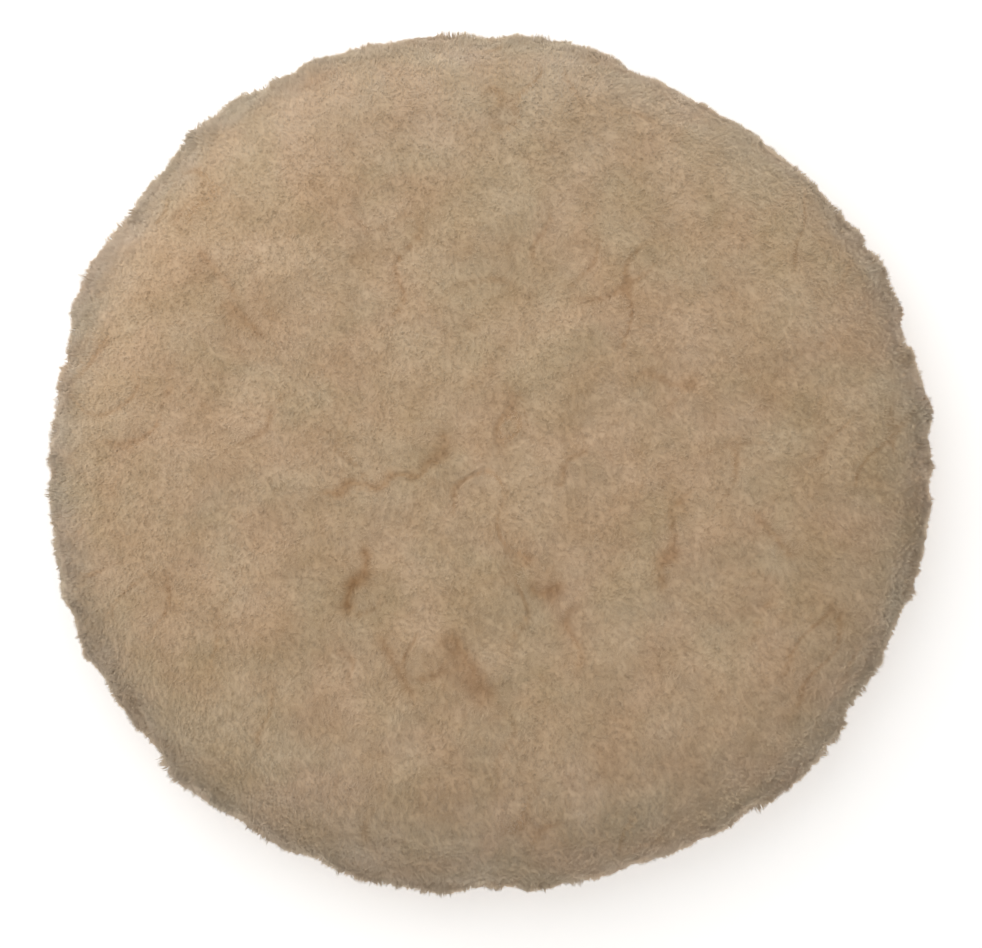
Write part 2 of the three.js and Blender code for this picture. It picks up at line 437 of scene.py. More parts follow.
def fibre_run(points, normal, down, locks, wisps):
    """How far sideways each fibre reaches from its root to its tip."""
    count = len(points)
    turned_over = turn_share(points)[:, None]
    lean = OWN_LEAN * RNG.normal(size=(count, 3))
    lean = lean + LOCK_LEAN * locks.scatter() + WISP_LEAN * wisps.scatter()
    lean = (1 - 0.6 * turned_over) * lean + lean_field(points, normal, down)
    lean -= (lean * normal).sum(axis=1, keepdims=True) * normal
    length = 1 + 0.2 * turned_over + side_share(normal)[:, None] + 1.2 * under_share(normal)[:, None]
    return FIBRE_RUN * length * RNG.uniform(0.5, 1.5, (count, 1)) * lean


def fibre_height(points, normal, locks, wisps):
    """How far above the clipped surface each tip stands; the powers leave only a few locks standing out."""
    count = len(points)
    fringe = fringe_share(points)[:, None]
    stray = RNG.random((count, 1)) < STRAYS
    height = RNG.uniform(*CLIPPED, (count, 1))
    height += STRAY_RISE * (1 - fringe) * stray * RNG.random((count, 1))
    height += FRINGE_RISE * fringe * RNG.random((count, 1)) ** 2
    height += FRINGE_LOCK_RISE * fringe * locks.chance() ** 7 * RNG.random((count, 1))
    height += FRINGE_WISP_RISE * fringe * wisps.chance() ** 5
    return height + SIDE_LOCK_RISE * side_share(normal)[:, None] * (locks.chance() - 0.5)


def fibre_paths(points, normal, down):
    """Root, middle and tip of each fibre, and how much painted shade it gets where it stands in the gap
    between two locks.
    """
    locks, wisps = Clumps(points, LOCK), Clumps(points, WISP)
    run = fibre_run(points, normal, down, locks, wisps)
    height = fibre_height(points, normal, locks, wisps)
    jitter = TIP_JITTER * RNG.normal(size=points.shape)
    root = points - FIBRE_DEPTH * normal - 0.7 * run
    tip = points + height * normal + 0.5 * run + jitter
    tip = locks.drawn_in(tip, LOCK_DRAW + SIDE_LOCK_DRAW * side_share(normal)[:, None])
    tip = wisps.drawn_in(tip, WISP_DRAW + FRINGE_WISP_DRAW * fringe_share(points)[:, None])
    middle = points + 0.5 * (height - 0.9 * MM) * normal - 0.1 * run + 0.5 * jitter
    between = LOCK_GAP_SHADE * side_share(normal) * smooth_step(locks.apart, 0.3, 0.75)
    return kept_clear(np.stack([root, middle, tip], axis=1)), between


def kept_clear(paths):
    """Lifts what would droop onto the floor, and holds back what would reach in under the hide."""
    paths[..., 2] = np.maximum(paths[..., 2], FLOOR_GAP)
    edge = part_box("sheepskin_hide")[1]
    radius = radius_of(paths)
    nearest = edge.x + HIDE_GAP
    tucked = (paths[..., 2] < edge.z / 3) & (radius < nearest)
    push = np.where(tucked, nearest / np.maximum(radius, MM), 1)
    paths[..., :2] *= push[..., None]
    return paths


# ---- Wool fibres, each a closed three-sided spindle, bent at its middle --------------------------
FIBRE_SIDES = 3
FIBRE_ROUNDING = 0.08  # how far its own shape, and not the fleece's, shades it
FIBRE_VERTS = 2 + FIBRE_SIDES
FIBRE_ALONG = np.array([0.0] + [0.55] * FIBRE_SIDES + [1.0])
FIBRE_ACROSS = np.array([0.5, 0.1, 0.5, 0.9, 0.5])


def fibre_verts(paths, soft_normal, girth):
    """Corners of the spindles, and the normals that shade them as part of the fleece."""
    root, middle, tip = paths[:, 0], paths[:, 1], paths[:, 2]
    chord = unit(tip - root)
    side = unit(np.cross(chord, soft_normal))
    lift = np.cross(side, chord)
    verts = [root]
    normals = [soft_normal]
    for corner in range(FIBRE_SIDES):
        turn = 2 * math.pi * (corner + 0.25) / FIBRE_SIDES
        out = math.cos(turn) * side + math.sin(turn) * lift
        verts.append(middle + girth[:, None] * out)
        normals.append(unit(soft_normal + FIBRE_ROUNDING * out))
    verts.append(tip)
    normals.append(soft_normal)
    return np.stack(verts, axis=1), np.stack(normals, axis=1)


def fibre_faces(count):
    faces = []
    for corner in range(FIBRE_SIDES):
        here, after = 1 + corner, 1 + (corner + 1) % FIBRE_SIDES
        faces += [(0, here, after), (here, FIBRE_VERTS - 1, after)]
    return (np.array(faces)[None] + FIBRE_VERTS * np.arange(count)[:, None, None]).reshape(-1, 3)


def fibre_piece(name, paths, soft_normal, opened, painted_shade, material):
    count = len(paths)
    girth = FIBRE_HALF_WIDTH * RNG.uniform(0.7, 1.3, count)
    verts, normals = fibre_verts(paths, soft_normal, girth)
    faces = fibre_faces(count)
    obj = new_mesh(name, verts.reshape(-1, 3), faces)
    tone = np.empty((count, FIBRE_VERTS, 4))
    tone[..., 0] = FIBRE_ALONG
    tone[..., 1] = RNG.random((count, 1))
    tone[..., 2] = opened[:, None]
    # painted grey shade, kept in the colour's fourth channel
    tone[..., 3] = painted_shade[:, None]
    paint(obj, "wool", tone.reshape(-1, 4))
    lay_out(obj, strand_layout(count, FIBRE_ACROSS, FIBRE_ALONG)[faces.ravel()])
    obj.data.normals_split_custom_set_from_vertices(normals.reshape(-1, 3).tolist())
    place(obj, material, "wool")


def painted_shade_share(points, normal):
    """How much painted grey shade the wool gets: most at the outline, and less towards two of the sides."""
    outline = SHADE_OUTLINE_MOST * smooth_step(radius_of(points), *SHADE_OUTLINE)
    sides = SHADE_SIDES_MOST * smooth_step(abs(points[..., 1]), *SHADE_SIDES)
    return np.maximum(outline, sides) * smooth_step(normal[..., 2], *SHADE_FACING)


def build_fibres(fleece, normal, down, material):
    points, soft_normal, tangent = sample_skin(fleece, normal, down, FIBRES)
    paths, between = fibre_paths(points, soft_normal, tangent)
    # the partings' dark brown, and painted shade between locks at the side
    opened = np.maximum(parting_field(points)[0], between)
    painted_shade = painted_shade_share(points, soft_normal)
    turn = (np.arctan2(points[:, 1], points[:, 0]) / (2 * math.pi)) % 1
    sector = (turn * SECTORS).astype(int)
    for s in range(SECTORS):
        mine = sector == s
        name = f"wool_fibres_{s + 1:02d}"
        fibre_piece(name, paths[mine], soft_normal[mine], opened[mine], painted_shade[mine], material)


def build_underlayer(fleece, normal, seat, material):
    """The dense wool below the loose tips: one closed body down to the hide."""
    top = fleece - UNDER_DEPTH * normal
    rows = np.concatenate([top, seat])
    verts = rows.reshape(-1, 3)
    count = len(rows)
    first, last = len(verts), len(verts) + 1
    verts = np.concatenate([verts, [rows[0].mean(axis=0)], [rows[-1].mean(axis=0)]])
    here = np.arange(count * AROUND).reshape(count, AROUND)
    after = np.roll(here, -1, axis=1)
    a, b, c, d = here[:-1], here[1:], after[1:], after[:-1]
    faces = [np.stack([a, b, c], axis=-1).reshape(-1, 3), np.stack([a, c, d], axis=-1).reshape(-1, 3)]
    faces.append(np.stack([np.full(AROUND, first), here[0], after[0]], axis=-1))
    faces.append(np.stack([np.full(AROUND, last), after[-1], here[-1]], axis=-1))
    faces = np.concatenate(faces)
    obj = new_mesh("wool_underlayer", verts, faces)
    tone = np.full((len(verts), 4), 0.5)
    # the partings' dark brown: partly the roots' colour, partly painted shade
    tone[:, 2] = parting_field(verts)[0]
    tone[:, 3] = 0
    # painted grey shade on the dense wool's top: a share of the tips'
    tone[: top.size // 3, 3] = UNDER_SHADE * painted_shade_share(top, normal).ravel()
    paint(obj, "wool", tone)
    lay_out(obj, underlayer_layout(rows)[faces.ravel()])
    place(obj, material, "wool", "wool_pile")


def underlayer_layout(rows):
    """Unrolls the rows into a disc: the distance along the surface becomes the radius."""
    step = np.linalg.norm(np.diff(rows, axis=0), axis=-1).mean(axis=1)
    reach = np.concatenate([[MIDDLE_R], MIDDLE_R + np.cumsum(step)])
    reach = 0.49 * reach / reach[-1]
    turn = np.linspace(0, 2 * math.pi, AROUND, endpoint=False)
    disc = np.stack([0.5 + reach[:, None] * np.cos(turn), 0.5 + reach[:, None] * np.sin(turn)], axis=-1)
    return np.concatenate([disc.reshape(-1, 2), [(0.5, 0.5)], [(0.995, 0.995)]])


# ---- Materials -----------------------------------------------------------------------------------
class Nodes:
    """A short way to write a material's node tree."""

    def __init__(self, name, roughness):
        self.material = bpy.data.materials.new(name)
        self.material.use_nodes = True
        self.tree = self.material.node_tree
        self.shader = self.tree.nodes["Principled BSDF"]
        self.shader.inputs["Roughness"].default_value = roughness

    def add(self, kind, **settings):
        node = self.tree.nodes.new("ShaderNode" + kind)
        for key, value in settings.items():
            setattr(node, key, value)
        return node

    def link(self, out, into):
        self.tree.links.new(out, into)

    def set(self, socket, value):
        self.shader.inputs[socket].default_value = value

    def base_colour(self, out):
        self.link(out, self.shader.inputs["Base Color"])

    def painted(self, layer_name):
        """The painted layer's red, green, blue and alpha."""
        layer = self.add("Attribute", attribute_name=layer_name)
        parts = self.add("SeparateColor")
        self.link(layer.outputs["Color"], parts.inputs["Color"])
        return (*(parts.outputs[c] for c in ("Red", "Green", "Blue")), layer.outputs["Alpha"])

    def texture(self, kind, scale, output="Fac", **inputs):
        """A texture in the pad's own coordinates; scale is in repeats per metre."""
        node = self.add("Tex" + kind)
        self.link(self.add("TexCoord").outputs["Object"], node.inputs["Vector"])
        node.inputs["Scale"].default_value = scale
        for key, value in inputs.items():
            node.inputs[key].default_value = value
        return node.outputs[output]

    def ramp(self, value, *stops):
        node = self.add("ValToRGB")
        elements = node.color_ramp.elements
        while len(elements) < len(stops):
            elements.new(0.5)
        for element, (spot, colour) in zip(elements, stops):
            element.position = spot
            element.color = (*colour, 1)
        self.link(value, node.inputs["Fac"])
        return node.outputs["Color"]

    def mixed(self, kind, factor, a, b):
        node = self.add("Mix", data_type="RGBA", blend_type=kind)
        for value, socket in ((factor, 0), (a, 6), (b, 7)):
            if isinstance(value, float):
                node.inputs[socket].default_value = value
            elif isinstance(value, tuple):
                node.inputs[socket].default_value = (*value, 1)
            else:
                self.link(value, node.inputs[socket])
        return node.outputs[2]

    def bump(self, height, distance, strength=1.0):
        node = self.add("Bump")
        node.inputs["Strength"].default_value = strength
        node.inputs["Distance"].default_value = distance
        self.link(height, node.inputs["Height"])
        self.link(node.outputs["Normal"], self.shader.inputs["Normal"])


# the dense wool's own colour, made a little darker as painted shade below the loose tips
UNDERWOOL_AND_SHADE = (0.70, 0.54, 0.37)
WOOL_ROOT = (0.73, 0.56, 0.375)
WOOL_MIDDLE = (0.78, 0.61, 0.425)
WOOL_TIP = (0.80, 0.64, 0.46)
# painted grey shade, which the wool is mixed towards at its outline and two of its sides
WOOL_SHADE_GREY = (0.66, 0.55, 0.425)
# the partings' dark brown: partly the roots' own browner colour, partly painted shade in the opening
WOOL_PARTED_ROOTS_AND_SHADE = (0.50, 0.29, 0.14)
LEATHER = (0.61, 0.47, 0.27)
ADHESIVE = (0.69, 0.62, 0.39)
FOAM = (0.69, 0.47, 0.13)
KNIT = (0.69, 0.66, 0.60)
LOOPS = (0.79, 0.76, 0.69)
THREAD = (0.86, 0.84, 0.76)


def shade(colour, factor):
    return tuple(min(1.0, c * factor) for c in colour)


def wool_material(name, root, middle, tip):
    nodes = Nodes(name, 0.9)
    along, vary, opened, painted_shade = nodes.painted("wool")
    colour = nodes.ramp(along, (0.2, root), (0.6, middle), (1.0, tip))
    # painted shade: mixed towards grey at the outline and two of the sides
    colour = nodes.mixed("MIX", painted_shade, colour, WOOL_SHADE_GREY)
    # partings mixed towards dark brown: partly the roots' colour, partly painted shade
    colour = nodes.mixed("MIX", opened, colour, WOOL_PARTED_ROOTS_AND_SHADE)
    tint = nodes.ramp(vary, (0.0, (0.965, 0.96, 0.955)), (1.0, (1.03, 1.03, 1.03)))
    colour = nodes.mixed("MULTIPLY", 1.0, colour, tint)
    blotch = nodes.texture("Noise", 75, Detail=5.0, Roughness=0.62)
    blotch = nodes.ramp(blotch, (0.33, (0.93, 0.89, 0.83)), (0.67, (1.05, 1.06, 1.08)))
    colour = nodes.mixed("MULTIPLY", 1.0, colour, blotch)
    hue = nodes.texture("Noise", 52, Detail=2.0, Distortion=0.5)
    hue = nodes.ramp(hue, (0.35, (1.02, 0.98, 0.97)), (0.65, (0.98, 0.995, 0.985)))
    nodes.base_colour(nodes.mixed("MULTIPLY", 1.0, colour, hue))
    nodes.set("Specular IOR Level", 0.15)
    nodes.set("Sheen Weight", 0.4)
    nodes.set("Sheen Roughness", 0.5)
    nodes.set("Sheen Tint", (1.0, 0.9, 0.77, 1))
    return nodes.material


def leather_material():
    """Suede: the flesh side of a tanned skin."""
    nodes = Nodes("sheepskin_leather", 0.85)
    cloud = nodes.texture("Noise", 55, Detail=6.0, Roughness=0.6)
    nap = nodes.texture("Noise", 2600, Detail=3.0)
    colour = nodes.ramp(cloud, (0.3, shade(LEATHER, 0.82)), (0.7, shade(LEATHER, 1.1)))
    fibre = nodes.ramp(nap, (0.3, (0.86, 0.84, 0.8)), (0.7, (1.0, 1.0, 1.0)))
    nodes.base_colour(nodes.mixed("MULTIPLY", 1.0, colour, fibre))
    nodes.bump(nap, 0.12 * MM, 0.7)
    nodes.set("Sheen Weight", 0.3)
    return nodes.material


def adhesive_material():
    """A dried film with brush marks and small bubbles."""
    nodes = Nodes("adhesive_film", 0.4)
    cloud = nodes.texture("Noise", 120, Detail=4.0)
    bubbles = nodes.texture("Voronoi", 900, output="Distance")
    nodes.base_colour(nodes.ramp(cloud, (0.3, shade(ADHESIVE, 0.8)), (0.7, shade(ADHESIVE, 1.1))))
    nodes.bump(bubbles, 0.08 * MM, 0.6)
    return nodes.material


def foam_material():
    nodes = Nodes("open_cell_foam", 0.9)
    (depth, *_) = nodes.painted("pore_shade")
    cloud = nodes.texture("Noise", 300, Detail=4.0)
    # painted shade: darker in the open cells' pits
    colour = nodes.ramp(depth, (0.0, FOAM), (1.0, shade(FOAM, 0.55)))
    tint = nodes.ramp(cloud, (0.3, (0.9, 0.88, 0.85)), (0.7, (1.0, 1.0, 1.0)))
    nodes.base_colour(nodes.mixed("MULTIPLY", 1.0, colour, tint))
    nodes.bump(nodes.texture("Voronoi", 1900, output="Distance"), 0.15 * MM, 0.8)
    return nodes.material


def knit_material():
    """Fine warp knit: two sets of ribs crossing."""
    nodes = Nodes("knitted_ground", 0.8)
    rib = nodes.texture("Wave", 260, Distortion=1.5, Detail=2.0)
    dirt = nodes.texture("Noise", 90, Detail=5.0)
    nodes.base_colour(nodes.ramp(dirt, (0.3, shade(KNIT, 0.88)), (0.7, shade(KNIT, 1.08))))
    nodes.bump(rib, 0.15 * MM, 0.8)
    nodes.set("Sheen Weight", 0.2)
    return nodes.material


def loop_material():
    nodes = Nodes("brushed_loops", 0.75)
    along, vary, *_ = nodes.painted("loops")
    # painted shade: each loop darker towards its feet, where it goes into the sheet
    colour = nodes.ramp(along, (0.0, shade(LOOPS, 0.78)), (1.0, LOOPS))
    tint = nodes.ramp(vary, (0.0, (0.9, 0.9, 0.88)), (1.0, (1.0, 1.0, 1.0)))
    nodes.base_colour(nodes.mixed("MULTIPLY", 1.0, colour, tint))
    nodes.bump(nodes.texture("Noise", 3000, Detail=3.0), 0.1 * MM, 0.5)
    nodes.set("Sheen Weight", 0.3)
    return nodes.material


def thread_material():
    nodes = Nodes("bonded_thread", 0.5)
    fibre = nodes.texture("Noise", 4000, Detail=3.0)
    nodes.base_colour(nodes.ramp(fibre, (0.3, shade(THREAD, 0.85)), (0.7, THREAD)))
    nodes.bump(fibre, 0.05 * MM, 0.5)
    nodes.set("Sheen Weight", 0.2)
    return nodes.material


# ---- Rings and plates of the backing -------------------------------------------------------------
def revolved(rows):
    """Verts, quads and layout of a ring from rows of points round it, the last row joined to the first."""
    count, around = rows.shape[:2]
    here = np.arange(count * around).reshape(count, around)
    below = np.roll(here, -1, axis=0)
    faces = np.stack([here, below, np.roll(below, -1, axis=1), np.roll(here, -1, axis=1)], axis=-1)
    row, column = np.indices((count, around))
    u = np.stack([column, column, column + 1, column + 1], axis=-1) / around
    v = np.stack([row, row + 1, row + 1, row], axis=-1) / count
    return rows.reshape(-1, 3), faces.reshape(-1, 4), np.stack([u, v], axis=-1).reshape(-1, 2)


def turned(profile, around):
    """Rows of points [radius, height], turned about the axis."""
    profile = np.array(profile)
    turn = np.linspace(0, 2 * math.pi, around, endpoint=False)
    r, z = profile[:, :1], profile[:, 1:]
    return np.stack([r * np.cos(turn), r * np.sin(turn), z + 0 * turn], axis=-1)


def rings(radii, around):
    """Rows of points round the axis at height zero."""
    return turned(np.stack([radii, np.zeros(len(radii))], axis=1), around)


def heights(tree, radii, up):
    """Heights of a CAD surface at each radius, looking up from below it or down from above it."""
    start = BELOW if up else ABOVE
    way = Vector((0, 0, 1 if up else -1))
    return np.array([tree.ray_cast(Vector((r, 0.02 * MM, start)), way)[0].z for r in radii])


def plate_faces(solid):
    """Quads of a flat ring's top, walls and underside, in that order, and how many the underside has."""
    around = solid.shape[1]
    bottom = np.arange((len(solid) + 1) * around).reshape(-1, around)
    top = bottom + bottom.size
    after = np.roll(np.arange(around), -1)
    i, j = np.nonzero(solid)
    k = after[j]
    under = np.stack([bottom[i, j], bottom[i, k], bottom[i + 1, k], bottom[i + 1, j]], axis=-1)
    faces = [np.stack([top[i, j], top[i + 1, j], top[i + 1, k], top[i, k]], axis=-1)]
    framed = np.pad(solid, ((1, 1), (0, 0)))
    for edge, flip in ((framed[1:] & ~framed[:-1], False), (framed[:-1] & ~framed[1:], True)):
        i, j = np.nonzero(edge)
        k = after[j]
        wall = np.stack([bottom[i, j], top[i, j], top[i, k], bottom[i, k]], axis=-1)
        faces.append(wall[:, ::-1] if flip else wall)
    before = np.roll(solid, 1, axis=1)
    for edge, flip in ((solid & ~before, False), (before & ~solid, True)):
        i, j = np.nonzero(edge)
        wall = np.stack([bottom[i, j], bottom[i + 1, j], top[i + 1, j], top[i, j]], axis=-1)
        faces.append(wall[:, ::-1] if flip else wall)
    return np.concatenate([*faces, under]), len(under)


def plate(name, radii, low, high, solid):
    """A flat ring with openings; solid says which cells, between the radii and round it, are there."""
    flat = rings(radii, solid.shape[1])[..., :2]
    verts = np.concatenate([np.dstack([flat, z]).reshape(-1, 3) for z in (low, high)])
    faces, facing_down = plate_faces(solid)
    half = np.full(len(faces), 0.25)
    half[-facing_down:] = 0.75
    spread = verts[faces][..., :2] / radii[-1]
    uv = np.stack([half[:, None] + 0.24 * spread[..., 0], 0.5 + 0.48 * spread[..., 1]], axis=-1)
    used, faces = np.unique(faces, return_inverse=True)
    obj = new_mesh(name, verts[used], faces.reshape(-1, 4))
    lay_out(obj, uv.reshape(-1, 2))
    return obj


def needle_cells(radii):
    """Cells that are there: all but those that the needle's holes take."""
    around = STITCHES * STEPS_PER_STITCH
    middle = (radii[1:] + radii[:-1]) / 2
    across = abs(middle - SEAM_R) < NEEDLE_HALF_WIDTH
    first = (STEPS_PER_STITCH - NEEDLE_STEPS) // 2
    step = (np.arange(around) % STEPS_PER_STITCH) - first
    along = (step >= 0) & (step < NEEDLE_STEPS)
    return ~(across[:, None] & along[None, :])


def seam_radii(inner, outer):
    """Radii of the rows on either side of the seam and at the edges of its groove and its needle holes."""
    offsets = MM * np.array([-1.8, -1.1, -0.75, -0.6, -0.3, 0, 0.3, 0.6, 0.75, 1.1, 1.8])
    return np.concatenate([inner, SEAM_R + offsets, outer])


def uneven(field, spots, height):
    """A rise of 0 up to just over three times the height, as smooth waves have it."""
    return height * (WAVE_LIMIT + np.clip(field(spots), -WAVE_LIMIT, WAVE_LIMIT))


def build_hide(material):
    """The leather: suede underneath, with an edge cut by hand."""
    tree = surface_tree("sheepskin_hide")
    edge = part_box("sheepskin_hide")[1].x
    inner = np.concatenate([np.linspace(0.05 * MM, 11 * MM, 14), np.linspace(16 * MM, 74 * MM, 12)])
    radii = seam_radii(np.append(inner, 76.5 * MM), edge - MM * np.array([2.6, 1.2, 0.5, 0.15, 0.0]))
    safe = np.minimum(radii, edge - 0.1 * MM)
    cells = needle_cells(radii)
    spots = rings(radii, cells.shape[1])
    grain, wave = Waves(1.6 * MM), Waves(9 * MM)
    low = heights(tree, safe, up=True)[:, None] + uneven(grain, spots, HIDE_GRAIN)
    high = heights(tree, safe, up=False)[:, None] - uneven(wave, spots, HIDE_WAVE)
    rounded = HIDE_ROUNDING * smooth_step(radii, edge - 0.6 * MM, edge)[:, None]
    obj = plate("leather_hide", radii, low + rounded, high - rounded, cells)
    place(obj, material, "leather", "sheepskin_hide")


def build_loop_sheet(material):
    """The nap's dense foot, with the seam's groove and its needle holes."""
    tree = surface_tree("loop_nap")
    high_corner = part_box("loop_nap")[1]
    radii = seam_radii(np.linspace(HOLE_R, SEAM_R - 2.4 * MM, 46), np.array([high_corner.x]))
    cells = needle_cells(radii)
    groove = heights(tree, np.clip(radii, HOLE_R + 0.05 * MM, high_corner.x - 0.2 * MM), up=True)
    low = np.maximum(high_corner.z - SHEET, groove)
    spots = rings(radii, cells.shape[1])
    pucker = Waves(2.4 * MM)
    low = low[:, None] + SHEET_PUCKER * np.clip(pucker(spots), -PUCKER_LIMIT, PUCKER_LIMIT)
    high = np.full_like(low, high_corner.z)
    place(plate("loop_sheet", radii, low, high, cells), material, "loop_nap", "loop_nap")


# ---- Loops ---------------------------------------------------------------------------------------
LOOP_VERTS = 2 + LOOP_RINGS * LOOP_SIDES
LOOP_JITTER = 0.12  # of the spacing
LOOP_TURN = 0.5
LOOP_LEAN = 0.14 * MM
LOOP_UNEVEN = 0.16 * MM  # how much higher some loops end than others
LOOP_BULGE = 0.45  # how much wider a loop is than its feet
LOOP_ARCH = 0.7  # below 1, a loop's crown is flatter than a sine
LOOP_ROOT = 0.3 * SHEET  # how deep its feet are in the sheet
LOOP_STEP = 0.02  # share of a loop over which its direction is taken
LOOP_RING_AT = np.linspace(0.06, 0.94, LOOP_RINGS)  # the rings' places along a loop
LOOP_ALONG = np.concatenate([[0.0], np.repeat(LOOP_RING_AT, LOOP_SIDES), [1.0]])
LOOP_ACROSS = np.array([0.5] + [0.1, 0.5, 0.9] * LOOP_RINGS + [0.5])


def loop_spots():
    """Feet of the loops: rows of a knitted fabric, jittered, clear of the hole, the seam and the edge."""
    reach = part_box("loop_nap")[1].x
    line = np.arange(-reach, reach, LOOP_SPACING)
    x, y = np.meshgrid(line, line)
    x = x + np.where(np.arange(len(line)) % 2, LOOP_SPACING / 2, 0)[:, None]
    spots = np.stack([x.ravel(), y.ravel()], axis=1)
    spots += LOOP_JITTER * LOOP_SPACING * RNG.normal(size=spots.shape)
    r = np.linalg.norm(spots, axis=1)
    return spots[(r > HOLE_R + 0.9 * MM) & (r < reach - 0.8 * MM) & (abs(r - SEAM_R) > 1.7 * MM)]


def loop_faces(count):
    first, last = 0, LOOP_VERTS - 1
    ring = 1 + np.arange(LOOP_RINGS * LOOP_SIDES).reshape(LOOP_RINGS, LOOP_SIDES)
    after = np.roll(ring, -1, axis=1)
    faces = []
    for c in range(LOOP_SIDES):
        faces.append((first, after[0, c], ring[0, c]))
        faces.append((last, ring[-1, c], after[-1, c]))
        for k in range(LOOP_RINGS - 1):
            faces.append((ring[k, c], after[k, c], after[k + 1, c]))
            faces.append((ring[k, c], after[k + 1, c], ring[k + 1, c]))
    return (np.array(faces)[None] + LOOP_VERTS * np.arange(count)[:, None, None]).reshape(-1, 3)


def loop_verts(spots):
    """Corners of the arched loops, which hang from the sheet and lean a little as brushing leaves them."""
    count = len(spots)
    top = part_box("loop_nap")[1].z - LOOP_ROOT
    turn = LOOP_TURN * RNG.normal(size=count)
    span = np.stack([np.cos(turn), np.sin(turn), 0 * turn], axis=1)
    side = np.stack([-np.sin(turn), np.cos(turn), 0 * turn], axis=1)
    low = LOOP_CLEAR + LOOP_UNEVEN * RNG.random(count)
    lean = LOOP_LEAN * RNG.normal(size=count)
    foot = np.stack([spots[:, 0], spots[:, 1], np.full(count, top)], axis=1)

    def at(t):
        arch = math.sin(math.pi * t) ** LOOP_ARCH
        along = LOOP_SPAN * (1 - 2 * t) * (1 + LOOP_BULGE * math.sin(math.pi * t))
        drop = (top - low) * arch
        return foot + along * span + (lean * arch)[:, None] * side - drop[:, None] * (0, 0, 1)

    verts = [at(0.0)]
    for t in LOOP_RING_AT:
        ahead = unit(at(t + LOOP_STEP) - at(t - LOOP_STEP))
        over = np.cross(ahead, side)
        for c in range(LOOP_SIDES):
            a = 2 * math.pi * c / LOOP_SIDES
            verts.append(at(t) + LOOP_HALF_WIDTH * (math.cos(a) * side + math.sin(a) * over))
    verts.append(at(1.0))
    return np.stack(verts, axis=1)


def build_loops(material):
    spots = loop_spots()
    for piece, mine in enumerate(np.array_split(np.argsort(spots[:, 1], kind="stable"), LOOP_PIECES)):
        count = len(mine)
        faces = loop_faces(count)
        obj = new_mesh(f"loops_{piece + 1}", loop_verts(spots[mine]).reshape(-1, 3), faces)
        tone = np.ones((count, LOOP_VERTS, 4))
        # 0 at a loop's feet, 1 at its crown: the mask for its painted shade
        tone[..., 0] = np.sin(math.pi * LOOP_ALONG)
        tone[..., 1] = RNG.random((count, 1))
        paint(obj, "loops", tone.reshape(-1, 4))
        lay_out(obj, strand_layout(count, LOOP_ACROSS, LOOP_ALONG)[faces.ravel()])
        obj.data.shade_smooth()
        place(obj, material, "loop_nap", "loop_nap")


# ---- Foam ----------------------------------------------------------------------------------------
def foam_profile():
    """Top, shoulder, rim and underside as [radius, height], and then the hole's wall from the bottom up."""
    tree = surface_tree("foam_cushion")
    low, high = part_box("foam_cushion")
    rim = high.x - 0.1 * MM
    over = np.concatenate([np.linspace(HOLE_R, rim, 26), [high.x]])
    top = heights(tree, np.clip(over, HOLE_R + 0.1 * MM, rim), up=False)
    under = np.linspace(high.x, HOLE_R, 8)
    wall = np.linspace(low.z, high.z, FOAM_UP + 1)[1:-1]
    profile = list(zip(over, top)) + [(r, low.z) for r in under] + [(HOLE_R, z) for z in wall]
    return profile, len(wall) + 1


def build_foam(material):
    """The foam ring, with the open cells that its cut wall shows round the centring hole, darker in their
    pits as painted shade.
    """
    profile, wall_rows = foam_profile()
    rows = turned(profile, FOAM_AROUND)
    wall = rows[-wall_rows:]
    low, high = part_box("foam_cushion")
    reach = HOLE_R + FOAM_PORE
    cells = RNG.uniform((-reach, -reach, low.z), (reach, reach, high.z), (PORE_TRIES, 3))
    cells = cells[abs(radius_of(cells) - HOLE_R) < 0.5 * FOAM_PORE]
    cells = cells[thinned(cells, FOAM_PORE)]
    tree = tree_of(cells)
    near = np.array([[found[2] for found in tree.find_n(Vector(p), 2)] for p in wall.reshape(-1, 3)])
    pit = smooth_step(near[:, 1] - near[:, 0], *PORE_EDGE).reshape(wall.shape[:2])
    pit[0] = 0
    wall[..., :2] *= (1 + PORE_DEPTH * pit / HOLE_R)[..., None]
    verts, faces, uv = revolved(rows)
    obj = new_mesh("foam_core", verts, faces)
    tone = np.zeros((len(rows), FOAM_AROUND, 4))
    tone[-wall_rows:, :, 0] = pit
    paint(obj, "pore_shade", tone.reshape(-1, 4))
    lay_out(obj, uv)
    place(obj, material, "foam", "foam_cushion")


# ---- Threads -------------------------------------------------------------------------------------
def thread_height(node, dips_up, turn):
    """Height of the thread's middle line, which dips into each needle hole."""
    low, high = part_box(node)
    level = (low.z if dips_up else high.z) + (THREAD_R if dips_up else -THREAD_R)
    dip = (high.z - low.z - 2 * THREAD_R) * (1 if dips_up else -1)
    return level + dip * np.maximum(0, -np.cos(STITCHES * turn))


def ply_rows(r, z, turn):
    """Rows of points round the pad, one for each side of a ply with that middle line."""
    rows = []
    for side in range(PLY_SIDES):
        a = -2 * math.pi * side / PLY_SIDES
        out, up = r + PLY_R * math.cos(a), z + PLY_R * math.sin(a)
        rows.append(np.stack([out * np.cos(turn), out * np.sin(turn), up], axis=-1))
    return np.array(rows)


